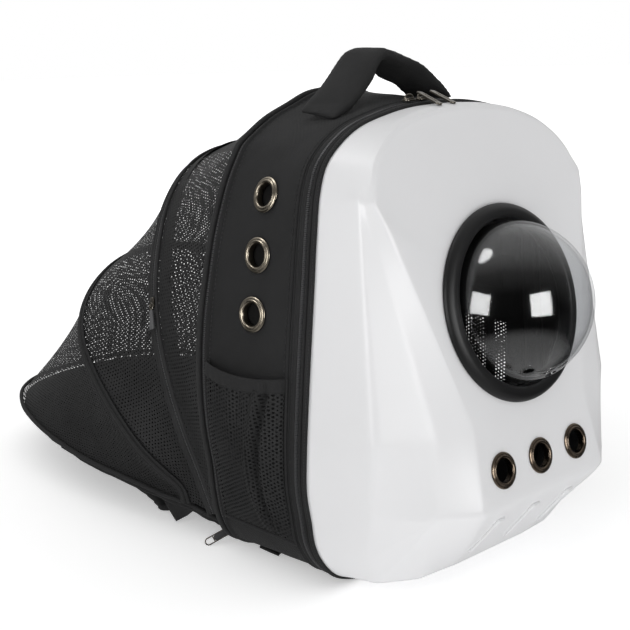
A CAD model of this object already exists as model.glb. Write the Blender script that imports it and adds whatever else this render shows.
import bpy, bmesh, math
import numpy as np
from mathutils import Vector, Matrix, noise

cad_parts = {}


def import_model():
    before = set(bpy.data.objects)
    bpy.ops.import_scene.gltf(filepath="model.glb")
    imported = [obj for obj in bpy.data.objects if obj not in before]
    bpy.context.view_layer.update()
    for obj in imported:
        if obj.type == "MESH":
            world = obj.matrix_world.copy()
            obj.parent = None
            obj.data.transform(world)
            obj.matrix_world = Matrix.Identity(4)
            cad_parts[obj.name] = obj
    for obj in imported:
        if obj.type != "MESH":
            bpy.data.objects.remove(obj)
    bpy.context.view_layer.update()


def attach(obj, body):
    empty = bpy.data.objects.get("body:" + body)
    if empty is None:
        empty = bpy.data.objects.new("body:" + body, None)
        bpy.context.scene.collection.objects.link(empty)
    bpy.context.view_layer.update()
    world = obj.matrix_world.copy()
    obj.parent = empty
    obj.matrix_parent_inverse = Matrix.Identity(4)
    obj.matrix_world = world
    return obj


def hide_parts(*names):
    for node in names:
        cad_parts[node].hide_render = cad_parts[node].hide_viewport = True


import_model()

scene = bpy.context.scene
scene.view_settings.view_transform = "Standard"
scene.view_settings.look = "None"

# ---------------------------------------------------------------- camera
cam_data = bpy.data.cameras.new("camera")
cam_data.sensor_width = 36.0
cam_data.lens = 71.517
cam_data.clip_start, cam_data.clip_end = 0.05, 60
camera = bpy.data.objects.new("camera", cam_data)
scene.collection.objects.link(camera)
right, up, ahead = Vector((0.7294, -0.6837, -0.0246)), Vector((0.1797, 0.1567, 0.9712)), Vector((0.6601, 0.7128, -0.2371))
camera.matrix_world = Matrix((
    (right.x, up.x, -ahead.x, -0.8046),
    (right.y, up.y, -ahead.y, -0.7859),
    (right.z, up.z, -ahead.z, 0.4795),
    (0, 0, 0, 1)))
scene.camera = camera

# ---------------------------------------------------------------- dimensions, millimetres
# Tables count Y from the joint plane between the hard shell and the fabric, as the model's own tables do.
ORIGIN_Y = 75.0
GUSSET_REAR = 128.0
BAND_DEPTH = 23.0
CLOTH = 2.6
PLATEAU_Y, PLATEAU_Z, PLATEAU_SLOPE = -109.8, 130.0, 0.26
CROWN_Z, CROWN_SLOPE = 318.0, 0.15
WINDOW_Z = 240.0
RING_OUTER, RING_INNER = 83.0, 69.2
DOME_OUTER, DOME_WALL = 68.6, 2.2
SHELL_WALL = 3.0
EYELET_R, EYELET_HOLE = 15.1, 9.8
EYELET_PITCH, EYELET_Z = 48.7, 114.0
SIDE_EYELET_Y, SIDE_EYELET_Z = 67.6, (332.0, 283.0, 234.0)
POCKET_Y, POCKET_Z, POCKET_BAND, POCKET_OUT = (24.0, 117.0), (42.0, 176.0), 12.0, 15.0
HANDLE_Y, HANDLE_WIDTH, HANDLE_THICK = 61.0, 37.0, 11.0
PANEL_THICK = 11.0
TAPE = 15.0

RIM = [(0, 400), (32, 399), (61, 395), (93, 387), (113, 376), (129, 361), (137, 341), (142, 306), (146, 265),
       (151, 217), (155, 176), (159, 129), (160, 95), (156, 69), (152, 46), (143, 28), (128, 12), (106, 3), (82, 0), (40, 0), (0, 0)]
REAR = [(0, 409), (28, 406), (53, 397), (77, 388), (93, 379), (110, 367), (118, 355), (128, 337), (138, 312), (146, 288), (154, 254),
        (160, 225), (164, 190), (165, 151), (163, 121), (158, 89), (155, 58), (151, 37), (142, 18), (124, 5), (96, 0), (48, 0), (0, 0)]
SHELL_TOP = [(0, 400, 0, 396), (32, 399, 27, 395), (61, 395, 53, 391.5), (82, 390.5, 73, 387), (98, 385, 91, 380), (113, 376, 105, 371),
             (123, 367, 116, 361), (130, 359, 123.5, 349)]
SHELL_LOW = [(138.5, 333, 137, -41, 338, 136, -47, 333, 131, 336),
             (147, 252, 145, -56, 245, 123.5, -71.5, 245, 102, 245),
             (157.5, 148, 152, -69.6, 151, 111.5, -96, 151, 74, 153),
             (160, 92, 144, -57, 85, 114, -98, 85, 81, 85),
             (153, 50, 134, -43, 42, 114, -98, 85, 81, 85),
             (134, 16, 120, -38, 13, 114, -98, 85, 81, 85),
             (90, 0.6, 84, -57, 11.5, 114, -98, 85, 81, 85),
             (44, 0, 44, -60, 11.5, 81, -121.5, 85, 81, 85),
             (0, 0, 0, -60, 11.5, 0, -121.5, 85, 0, 85)]
ARCH_1 = dict(foot_y=146, foot_z=46, lean=0.42, half=[(0, 346), (30, 344), (63, 333), (97, 306), (124, 268), (143, 228), (153, 190), (157, 148), (156, 105), (152, 70), (150, 46)], toe=(148, 141.5, 33))
ARCH_2 = dict(foot_y=182, foot_z=48, lean=1.34, half=[(0, 226), (45, 222), (93, 207), (131, 186), (153, 164), (164, 140), (170, 104), (168, 78), (160, 60), (154, 48)], toe=(151.5, 179, 34))
PANEL = [(0, 135), (70, 135), (112, 136), (134, 143), (145, 158), (149, 182), (156, 208), (160, 245), (166, 311), (166, 347), (163, 384),
         (160, 411), (153, 446), (141, 487), (124, 522), (107, 545), (80, 565), (42, 577), (0, 580)]
HANDLE = [(-84, 395.5), (-69, 406), (-54, 419), (-40, 433), (-27, 442), (-10, 441.5), (12, 436), (33, 428), (50, 417), (63, 407), (72, 399)]


# ---------------------------------------------------------------- curves and outlines
def catmull(pts, per=14):
    """Centripetal curve through the points."""
    P = [np.array(p, float) for p in pts]
    out = []
    for i in range(len(P) - 1):
        p1, p2 = P[i], P[i + 1]
        p0 = P[i - 1] if i else 2 * p1 - p2
        p3 = P[i + 2] if i + 2 < len(P) else 2 * p2 - p1
        d0, d1, d2 = (max(np.linalg.norm(b - a) ** 0.5, 1e-4) for a, b in ((p0, p1), (p1, p2), (p2, p3)))
        t1 = ((p1 - p0) / d0 - (p2 - p0) / (d0 + d1) + (p2 - p1) / d1) * d1
        t2 = ((p2 - p1) / d1 - (p3 - p1) / (d1 + d2) + (p3 - p2) / d2) * d1
        for k in range(per):
            t = k / per
            a, b = p2 - p1, 0
            out.append(p1 + t1 * t + (-3 * p1 + 3 * p2 - 2 * t1 - t2) * t * t + (2 * p1 - 2 * p2 + t1 + t2) * t ** 3)
    out.append(P[-1])
    return np.array(out)


def resample(P, n):
    """n + 1 points at equal distances along a polyline."""
    d = np.concatenate([[0], np.cumsum(np.linalg.norm(np.diff(P, axis=0), axis=1))])
    s = np.linspace(0, d[-1], n + 1)
    return np.column_stack([np.interp(s, d, P[:, k]) for k in range(P.shape[1])])


def spaced(pts, n):
    return resample(catmull(pts), n)


def mirrored(half):
    """Half outline from top middle to bottom middle, closed with its mirror image."""
    return np.vstack([half, half[1:-1][::-1] * [-1, 1]])


HALF = 120
rim_loop = mirrored(spaced(RIM, HALF))
rear_loop = mirrored(spaced(REAR, HALF))
for L in (rim_loop, rear_loop):
    L[:, 1] = np.maximum(L[:, 1], 0)
STATIONS = len(rim_loop)


def loop_at(y, out=0.0, floor=0.0):
    """Outline round the bag at depth y, moved outward by out."""
    t = min(1.0, max(0.0, y / GUSSET_REAR))
    L = rim_loop * (1 - t) + rear_loop * t
    T = np.roll(L, -1, 0) - np.roll(L, 1, 0)
    T /= np.linalg.norm(T, axis=1)[:, None]
    P = L + np.column_stack([-T[:, 1], T[:, 0]]) * np.reshape(out, (-1, 1))
    return np.column_stack([P[:, 0], np.full(len(P), float(y)), np.maximum(P[:, 1], floor)])


def loop_normals(y):
    t = min(1.0, max(0.0, y / GUSSET_REAR))
    L = rim_loop * (1 - t) + rear_loop * t
    T = np.roll(L, -1, 0) - np.roll(L, 1, 0)
    T /= np.linalg.norm(T, axis=1)[:, None]
    return np.column_stack([-T[:, 1], np.zeros(len(T)), T[:, 0]])


def wall_at(y, z, s):
    """Point and outward normal on the fabric side wall; s is -1 left and 1 right."""
    def find(yy, zz):
        L = loop_at(yy)[:HALF + 1]
        return float(np.interp(-zz, -L[:, 2], L[:, 0]))
    x = find(y, z)
    dy, dz = (find(y + 15, z) - find(y - 15, z)) / 30, (find(y, z + 15) - find(y, z - 15)) / 30
    return Vector((s * x, y, z)), Vector((s, -dy, -dz)).normalized()


def plateau(z):
    return PLATEAU_Y + PLATEAU_SLOPE * (z - PLATEAU_Z)


def crown(z):
    return plateau(z) + CROWN_SLOPE * max(0.0, z - CROWN_Z)


FACE = Vector((0, -1, PLATEAU_SLOPE)).normalized()
FACE_UP = Vector((0, PLATEAU_SLOPE, 1)).normalized()


def on_face(x, z, h=0.0):
    return Vector((x, plateau(z), z)) + FACE * h


def world(P):
    """Millimetres of the tables to metres of the frame."""
    Q = np.array(P, float).reshape(-1, 3) * 0.001
    Q[:, 1] -= ORIGIN_Y * 0.001
    return Q


# ---------------------------------------------------------------- meshes
def new_object(name, verts, faces, material=None, uv=None, smooth=True, face_mats=None, materials=None, node=None, slot=None):
    me = bpy.data.meshes.new(name)
    V = world(verts)
    me.from_pydata(V.tolist(), [], [tuple(int(i) for i in f) for f in faces])
    if uv is not None:
        layer = me.uv_layers.new(name="cloth")
        idx = np.empty(len(me.loops), int)
        me.loops.foreach_get("vertex_index", idx)
        layer.data.foreach_set("uv", (np.asarray(uv, float)[idx] * 0.001).ravel())
    if face_mats is not None:
        me.polygons.foreach_set("material_index", list(face_mats))
    me.validate(clean_customdata=False)
    if smooth:
        me.polygons.foreach_set("use_smooth", [True] * len(me.polygons))
    me.update()
    o = bpy.data.objects.new(name, me)
    scene.collection.objects.link(o)
    for m in (materials or ([material] if material else [])):
        me.materials.append(m)
    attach(o, "root")
    if node:
        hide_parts(*([node] if isinstance(node, str) else node))
    return o


def grid_faces(n, m, close_i=False, close_j=False, base=0, flip=False):
    F = []
    for i in range(n if close_i else n - 1):
        for j in range(m if close_j else m - 1):
            a, b = i * m + j, i * m + (j + 1) % m
            c, d = ((i + 1) % n) * m + (j + 1) % m, ((i + 1) % n) * m + j
            F.append((base + a, base + d, base + c, base + b) if flip else (base + a, base + b, base + c, base + d))
    return F


def arc_uv(G):
    """Real distances along both directions of a grid."""
    du = np.linalg.norm(np.diff(G, axis=1), axis=2).mean(0)
    dv = np.linalg.norm(np.diff(G, axis=0), axis=2).mean(1)
    u, v = np.concatenate([[0], np.cumsum(du)]), np.concatenate([[0], np.cumsum(dv)])
    return np.stack(np.meshgrid(u, v), axis=-1).reshape(-1, 2)


def outward(obj):
    bm = bmesh.new()
    bm.from_mesh(obj.data)
    bmesh.ops.remove_doubles(bm, verts=bm.verts, dist=1e-6)
    bmesh.ops.recalc_face_normals(bm, faces=bm.faces)
    bm.to_mesh(obj.data)
    bm.free()
    obj.data.polygons.foreach_set("use_smooth", [True] * len(obj.data.polygons))
    obj.data.update()
    return obj


def ring_body(name, profile, material, **kw):
    """Closed profile of (y, out) carried round the bag's outline; out may vary with the station."""
    G = np.array([loop_at(y, o) for y, o in profile])
    n, m = G.shape[:2]
    uv = arc_uv(G)
    return outward(new_object(name, G.reshape(-1, 3), grid_faces(n, m, True, True), material, uv=uv, **kw))


def tube_along(path, radius, seg=10, closed=False, up_hint=None):
    """Vertices and faces of a round tube along points."""
    P = np.asarray(path, float)
    T = (np.roll(P, -1, 0) - np.roll(P, 1, 0)) if closed else np.gradient(P, axis=0)
    T /= np.linalg.norm(T, axis=1)[:, None]
    r = np.broadcast_to(np.asarray(radius, float), (len(P),))
    u = np.array(up_hint if up_hint is not None else (0.3, 0.2, 1.0), float)
    rings = []
    for p, t, q in zip(P, T, r):
        u = u - t * (u @ t)
        u /= np.linalg.norm(u)
        v = np.cross(t, u)
        a = np.arange(seg) * 2 * math.pi / seg
        rings.append(p + q * (np.outer(np.cos(a), u) + np.outer(np.sin(a), v)))
    G = np.array(rings)
    V = G.reshape(-1, 3)
    F = grid_faces(len(P), seg, closed, True)
    if not closed:
        V = np.vstack([V, P[0], P[-1]])
        k = len(P) * seg
        for j in range(seg):
            F.append((k, (j + 1) % seg, j))
            F.append((k + 1, (len(P) - 1) * seg + j, (len(P) - 1) * seg + (j + 1) % seg))
    return V, F


class Parts:
    """Collects many small bodies into one mesh."""
    def __init__(self):
        self.v, self.f, self.n = [], [], 0

    def add(self, V, F):
        self.v.append(np.asarray(V, float))
        self.f += [tuple(int(i) + self.n for i in f) for f in F]
        self.n += len(V)
        return self

    def make(self, name, material, **kw):
        return new_object(name, np.vstack(self.v), self.f, material, **kw)


def stitches(parts, path, normals, pitch=4.2, length=2.9, wide=0.75, high=0.55, lift=0.15):
    """A row of short raised stitches along a path that lies on a surface."""
    P, N = np.asarray(path, float), np.asarray(normals, float)
    d = np.concatenate([[0], np.cumsum(np.linalg.norm(np.diff(P, axis=0), axis=1))])
    for s in np.arange(pitch * 0.6, d[-1] - pitch * 0.5, pitch):
        a = np.array([np.interp(s - length / 2, d, P[:, k]) for k in range(3)])
        b = np.array([np.interp(s + length / 2, d, P[:, k]) for k in range(3)])
        n = np.array([np.interp(s, d, N[:, k]) for k in range(3)])
        t = (b - a) / max(np.linalg.norm(b - a), 1e-6)
        n = n - t * (n @ t)
        n /= max(np.linalg.norm(n), 1e-6)
        w = np.cross(t, n)
        m = (a + b) / 2 + n * lift
        V = [a - n * 0.3, m + w * wide / 2 - t * length * 0.2, m + n * high - t * length * 0.25, m - w * wide / 2 - t * length * 0.2,
             m + w * wide / 2 + t * length * 0.2, m + n * high + t * length * 0.25, m - w * wide / 2 + t * length * 0.2, b - n * 0.3]
        F = [(0, 1, 2), (0, 2, 3), (1, 4, 5, 2), (2, 5, 6, 3), (4, 7, 5), (5, 7, 6), (0, 3, 6, 7), (0, 7, 4, 1)]
        parts.add(V, F)


def boxes_along(parts, path, normals, pitch, size):
    """Zip teeth: small boxes of size (along, across, high) on a path."""
    P, N = np.asarray(path, float), np.asarray(normals, float)
    d = np.concatenate([[0], np.cumsum(np.linalg.norm(np.diff(P, axis=0), axis=1))])
    k = 0
    for s in np.arange(pitch / 2, d[-1], pitch):
        p = np.array([np.interp(s, d, P[:, c]) for c in range(3)])
        q = np.array([np.interp(min(s + 0.5, d[-1]), d, P[:, c]) for c in range(3)])
        n = np.array([np.interp(s, d, N[:, c]) for c in range(3)])
        t = q - p if s + 0.5 < d[-1] else p - np.array([np.interp(s - 0.5, d, P[:, c]) for c in range(3)])
        t /= max(np.linalg.norm(t), 1e-6)
        n = n - t * (n @ t)
        n /= np.linalg.norm(n)
        w = np.cross(t, n)
        k += 1
        la, lw, lh = size[0] / 2, size[1] / 2, size[2]
        sk = 0.35 * (1 if k % 2 else -1)
        V = []
        for h, z in ((0.0, 1.0), (lh, 0.72)):
            for sa, sw in ((-1, -1), (1, -1), (1, 1), (-1, 1)):
                V.append(p + t * (sa * la * z + sk * sw * 0.25) + w * (sw * lw * z) + n * h)
        F = [(0, 3, 2, 1), (4, 5, 6, 7), (0, 1, 5, 4), (1, 2, 6, 5), (2, 3, 7, 6), (3, 0, 4, 7)]
        parts.add(V, F)


def lathe(profile, seg, axis, at):
    """Closed profile of (radius, height) turned about axis."""
    a = np.arange(seg) * 2 * math.pi / seg
    u = axis.orthogonal().normalized()
    v = axis.cross(u)
    G = []
    for r, h in profile:
        G.append([at + axis * h + (u * math.cos(t) + v * math.sin(t)) * r for t in a])
    G = np.array(G)
    return G.reshape(-1, 3), grid_faces(len(profile), seg, True, True), G


def rounded(profile, turns=2):
    """Corner cutting of a closed profile."""
    P = np.array(profile, float)
    for _ in range(turns):
        Q = np.roll(P, -1, 0)
        P = np.stack([0.78 * P + 0.22 * Q, 0.22 * P + 0.78 * Q], 1).reshape(-1, 2)
    return P


def cut(obj, cutters, solver="EXACT"):
    """Takes the cutter bodies out of obj."""
    parts = Parts()
    for V, F in cutters:
        parts.add(V, F)
    me = bpy.data.meshes.new("cutter")
    me.from_pydata(world(np.vstack(parts.v)).tolist(), [], parts.f)
    me.update()
    c = bpy.data.objects.new("cutter", me)
    scene.collection.objects.link(c)
    bm = bmesh.new()
    bm.from_mesh(me)
    bmesh.ops.recalc_face_normals(bm, faces=bm.faces)
    bm.to_mesh(me)
    bm.free()
    mod = obj.modifiers.new("holes", "BOOLEAN")
    mod.operation, mod.solver, mod.object = "DIFFERENCE", solver, c
    dg = bpy.context.evaluated_depsgraph_get()
    dg.update()
    out = bpy.data.meshes.new_from_object(obj.evaluated_get(dg))
    obj.modifiers.remove(mod)
    old = obj.data
    obj.data = out
    out.name = old.name
    bpy.data.objects.remove(c)
    bpy.data.meshes.remove(me)
    return obj


def rod(radius, length, axis, at, seg=48):
    u = axis.orthogonal().normalized()
    v = axis.cross(u)
    V = []
    for h in (-length / 2, length / 2):
        for k in range(seg):
            t = 2 * math.pi * k / seg
            V.append(at + axis * h + (u * math.cos(t) + v * math.sin(t)) * radius)
    F = [tuple(range(seg))[::-1], tuple(range(seg, 2 * seg))]
    F += [(k, (k + 1) % seg, seg + (k + 1) % seg, seg + k) for k in range(seg)]
    return V, F


def fit_noise(P, scale, amp, seed=0.0):
    """Smooth pseudo-random number in -amp..amp at a point in millimetres."""
    return amp * noise.noise(Vector((P[0] / scale + seed, P[1] / scale - seed, P[2] / scale + 2 * seed)))


# ---------------------------------------------------------------- materials
def srgb(h):
    c = [((h >> s) & 255) / 255 for s in (16, 8, 0)]
    return tuple(x / 12.92 if x <= 0.04045 else ((x + 0.055) / 1.055) ** 2.4 for x in c) + (1.0,)


class Mat:
    def __init__(self, name):
        self.m = bpy.data.materials.new(name)
        self.m.use_nodes = True
        self.t = self.m.node_tree
        self.t.nodes.clear()
        self.out = self.n("ShaderNodeOutputMaterial")
        self.b = self.n("ShaderNodeBsdfPrincipled")
        self.l(self.b.outputs[0], self.out.inputs[0])

    def n(self, kind, **kw):
        x = self.t.nodes.new(kind)
        for k, v in kw.items():
            setattr(x, k, v)
        return x

    def l(self, a, b):
        self.t.links.new(a, b)

    def coords(self, which="Object"):
        if which == "cloth":
            return self.n("ShaderNodeUVMap", uv_map="cloth").outputs[0]
        return self.n("ShaderNodeTexCoord").outputs[which]

    def scaled(self, vec, s):
        m = self.n("ShaderNodeMapping")
        m.inputs["Scale"].default_value = (s, s, s) if not hasattr(s, "__len__") else s
        self.l(vec, m.inputs[0])
        return m.outputs[0]

    def noise(self, vec, scale, detail=3.0, rough=0.5):
        x = self.n("ShaderNodeTexNoise")
        x.inputs["Scale"].default_value, x.inputs["Detail"].default_value, x.inputs["Roughness"].default_value = scale, detail, rough
        self.l(vec, x.inputs["Vector"])
        return x.outputs["Fac"]

    def math(self, op, a, b=None, c=None):
        x = self.n("ShaderNodeMath", operation=op)
        for i, v in enumerate((a, b, c)):
            if v is None:
                continue
            if isinstance(v, (int, float)):
                x.inputs[i].default_value = v
            else:
                self.l(v, x.inputs[i])
        return x.outputs[0]

    def ramp(self, fac, stops):
        r = self.n("ShaderNodeValToRGB")
        e = r.color_ramp.elements
        while len(e) < len(stops):
            e.new(0.5)
        for q, (p, c) in zip(e, stops):
            q.position, q.color = p, c
        self.l(fac, r.inputs[0])
        return r.outputs[0]

    def span(self, fac, lo, hi):
        x = self.n("ShaderNodeMapRange")
        x.inputs["To Min"].default_value, x.inputs["To Max"].default_value = lo, hi
        self.l(fac, x.inputs["Value"])
        return x.outputs[0]

    def bump(self, height, strength, distance, after=None):
        x = self.n("ShaderNodeBump")
        x.inputs["Strength"].default_value, x.inputs["Distance"].default_value = strength, distance
        self.l(height, x.inputs["Height"])
        if after is not None:
            self.l(after, x.inputs["Normal"])
        self.l(x.outputs[0], self.b.inputs["Normal"])
        return x.outputs[0]

    def set(self, **kw):
        for k, v in kw.items():
            self.b.inputs[k.replace("_", " ")].default_value = v
        return self

    def color(self, out):
        self.l(out, self.b.inputs["Base Color"])


def mixed(base, f):
    return (base[0] * f, base[1] * f, base[2] * f, 1.0)


def weave(mat, vec, pitch):
    """Plain weave height in 0..1 from coordinates in metres."""
    v = mat.scaled(vec, 1 / pitch)
    s = mat.n("ShaderNodeSeparateXYZ")
    mat.l(v, s.inputs[0])
    x = mat.math("ABSOLUTE", mat.math("SINE", mat.math("MULTIPLY", s.outputs[0], math.pi)))
    y = mat.math("ABSOLUTE", mat.math("SINE", mat.math("MULTIPLY", s.outputs[1], math.pi)))
    c = mat.n("ShaderNodeTexChecker")
    c.inputs["Scale"].default_value = 1.0
    mat.l(v, c.inputs["Vector"])
    a = mat.math("MULTIPLY", x, c.outputs["Fac"])
    b = mat.math("MULTIPLY", y, mat.math("SUBTRACT", 1.0, c.outputs["Fac"]))
    return mat.math("ADD", a, b)


def fabric(name, base, rough=0.8, pitch=0.0009, depth=0.00025, coords="cloth", sheen=0.25, vary=0.22):
    m = Mat(name)
    vec, obj = m.coords(coords), m.coords("Object")
    big, fine = m.noise(obj, 14, 3), m.noise(obj, 900, 2)
    tone = m.math("ADD", m.math("MULTIPLY", big, 0.65), m.math("MULTIPLY", fine, 0.35))
    m.color(m.ramp(tone, [(0.3, mixed(base, 1 - vary)), (0.7, mixed(base, 1 + vary))]))
    h = weave(m, vec, pitch) if coords == "cloth" else m.math("ADD", m.math("MULTIPLY", fine, 0.6), m.math("MULTIPLY", weave(m, vec, pitch), 0.4))
    n1 = m.bump(m.noise(obj, 55, 3), 0.25, 0.0012)
    m.bump(h, 0.7, depth, n1)
    m.l(m.span(m.noise(obj, 40, 2), rough - 0.08, rough + 0.08), m.b.inputs["Roughness"])
    m.set(Sheen_Weight=sheen, Sheen_Roughness=0.45, Specular_IOR_Level=0.2)
    return m.m


def webbing(name, base, pitch=0.0014, rough=0.75, across=True):
    """Tape with ribs: a twill of short bands."""
    m = Mat(name)
    vec, obj = m.coords("cloth"), m.coords("Object")
    v = m.scaled(vec, 1 / pitch)
    s = m.n("ShaderNodeSeparateXYZ")
    m.l(v, s.inputs[0])
    k = m.math("ADD", s.outputs[0], m.math("MULTIPLY", s.outputs[1], 1.0 if across else 0.35))
    rib = m.math("ABSOLUTE", m.math("SINE", m.math("MULTIPLY", k, math.pi)))
    tone = m.math("ADD", m.math("MULTIPLY", m.noise(obj, 20, 3), 0.6), m.math("MULTIPLY", m.noise(obj, 700, 2), 0.4))
    m.color(m.ramp(tone, [(0.3, mixed(base, 0.75)), (0.7, mixed(base, 1.3))]))
    n1 = m.bump(m.noise(obj, 80, 3), 0.2, 0.0008)
    m.bump(rib, 0.6, 0.00025, n1)
    m.l(m.span(m.noise(obj, 60, 2), rough - 0.08, rough + 0.08), m.b.inputs["Roughness"])
    m.set(Sheen_Weight=0.04, Sheen_Roughness=0.4, Specular_IOR_Level=0.2)
    return m.m


def plastic(name, base, rough, grain=0.0001, scale=900, vary=0.02, coat=0.0):
    m = Mat(name)
    obj = m.coords("Object")
    m.color(m.ramp(m.noise(obj, 7, 4), [(0.3, mixed(base, 1 - vary)), (0.7, mixed(base, 1 + vary))]))
    m.bump(m.noise(obj, scale, 2), 0.25, grain)
    m.l(m.span(m.noise(obj, 18, 4), rough - 0.04, rough + 0.05), m.b.inputs["Roughness"])
    m.set(Coat_Weight=coat, Coat_Roughness=0.2)
    return m.m


def metal(name, base, rough, wear=0.4):
    """Plated metal, darker in blotches and lighter along raised edges."""
    m = Mat(name)
    obj = m.coords("Object")
    blotch = m.noise(obj, 160, 4, 0.6)
    geo = m.n("ShaderNodeNewGeometry")
    edge = m.math("MULTIPLY", m.math("SUBTRACT", geo.outputs["Pointiness"], 0.5), 4.0)
    tone = m.math("ADD", m.math("MULTIPLY", blotch, 1 - wear), m.math("ADD", m.math("MULTIPLY", edge, wear), wear / 2))
    m.color(m.ramp(tone, [(0.25, mixed(base, 0.6)), (0.5, mixed(base, 1.0)), (0.85, mixed(base, 1.7))]))
    m.bump(m.noise(obj, 500, 3), 0.15, 0.0001)
    m.l(m.span(blotch, rough - 0.08, rough + 0.12), m.b.inputs["Roughness"])
    m.set(Metallic=1.0)
    return m.m


M_SHELL = plastic("shell_plastic", (0.765, 0.765, 0.775, 1), 0.46, grain=0.00006, scale=1400, vary=0.012, coat=0.04)
M_INSIDE = plastic("shell_inside", (0.012, 0.012, 0.013, 1), 0.6, grain=0.0002, scale=300, vary=0.1)
M_RUBBER = plastic("ring_rubber", (0.0045, 0.0045, 0.005, 1), 0.45, grain=0.00012, scale=500, vary=0.15)
M_RUBBER.node_tree.nodes["Principled BSDF"].inputs["Specular IOR Level"].default_value = 0.3
M_CLOTH = fabric("gusset_fabric", (0.0145, 0.0145, 0.015, 1), sheen=0.04)
M_BAND = webbing("band_tape", (0.015, 0.015, 0.0155, 1))
M_LIP = webbing("binding_tape", (0.019, 0.019, 0.0195, 1), pitch=0.0011)
M_PIPING = webbing("piping_tape", (0.022, 0.022, 0.0225, 1), pitch=0.0010)
M_ELASTIC = webbing("elastic_band", (0.015, 0.015, 0.0155, 1), pitch=0.0012, across=False)
M_HANDLE = fabric("handle_fabric", (0.016, 0.016, 0.0163, 1), pitch=0.0010, coords="Object", sheen=0.04)
M_PANEL = fabric("panel_fabric", (0.014, 0.014, 0.0143, 1), pitch=0.0011, coords="Object", sheen=0.03)
M_STRAP = fabric("strap_fabric", (0.016, 0.016, 0.0163, 1), pitch=0.0012, coords="Object", sheen=0.04)
M_THREAD = fabric("stitch_thread", (0.032, 0.032, 0.033, 1), pitch=0.0003, coords="Object", rough=0.6, sheen=0.08)
M_COIL = plastic("zip_coil", (0.075, 0.075, 0.078, 1), 0.34, grain=0.0001)
M_NICKEL = metal("antique_nickel", (0.25, 0.22, 0.175, 1), 0.28)
M_BRONZE = metal("dark_bronze", (0.115, 0.09, 0.068, 1), 0.24)
M_ZIP = metal("zip_nickel", (0.11, 0.10, 0.085, 1), 0.3)
M_STEEL = metal("pull_steel", (0.62, 0.61, 0.59, 1), 0.2, wear=0.2)
M_HEM = webbing("ribbed_hem", (0.013, 0.013, 0.0133, 1), pitch=0.0024)
M_SCREEN = fabric("screen_cloth", (0.006, 0.0055, 0.005, 1), pitch=0.0007, sheen=0.0)
M_TAG = plastic("pull_rubber", (0.085, 0.085, 0.088, 1), 0.45, vary=0.1)


def net_material():
    m = Mat("net_thread")
    obj = m.coords("Object")
    vec = m.coords("cloth")
    tone = m.math("ADD", m.math("MULTIPLY", m.noise(obj, 25, 3), 0.6), m.math("MULTIPLY", m.noise(obj, 1300, 2), 0.4))
    m.color(m.ramp(tone, [(0.3, (0.010, 0.010, 0.0103, 1)), (0.7, (0.019, 0.019, 0.0194, 1))]))
    m.bump(m.noise(m.scaled(vec, (900, 3200, 1)), 1.0, 2), 0.5, 0.0003)
    m.set(Roughness=0.7, Sheen_Weight=0.05, Sheen_Roughness=0.4, Specular_IOR_Level=0.2)
    return m.m


M_NET = net_material()


def dome_material():
    """Thin clear sheet: straight through, with a gloss that grows towards the rim."""
    m = Mat("clear_acrylic")
    obj = m.coords("Object")
    m.t.nodes.remove(m.b)
    through = m.n("ShaderNodeBsdfTransparent")
    through.inputs[0].default_value = (0.93, 0.935, 0.94, 1)
    gloss = m.n("ShaderNodeBsdfGlossy")
    gloss.inputs["Roughness"].default_value = 0.085
    gloss.inputs["Color"].default_value = (1, 1, 1, 1)
    face = m.n("ShaderNodeLayerWeight")
    face.inputs["Blend"].default_value = 0.5
    f = m.math("ADD", m.math("MULTIPLY", m.math("POWER", face.outputs["Facing"], 4.0), 0.5), 0.045)
    bump = m.n("ShaderNodeBump")
    bump.inputs["Strength"].default_value, bump.inputs["Distance"].default_value = 0.08, 0.0006
    m.l(m.noise(obj, 30, 2), bump.inputs["Height"])
    m.l(bump.outputs[0], gloss.inputs["Normal"])
    mix = m.n("ShaderNodeMixShader")
    m.l(f, mix.inputs[0])
    m.l(through.outputs[0], mix.inputs[1])
    m.l(gloss.outputs[0], mix.inputs[2])
    m.l(mix.outputs[0], m.out.inputs[0])
    return m.m


M_DOME = dome_material()


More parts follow.
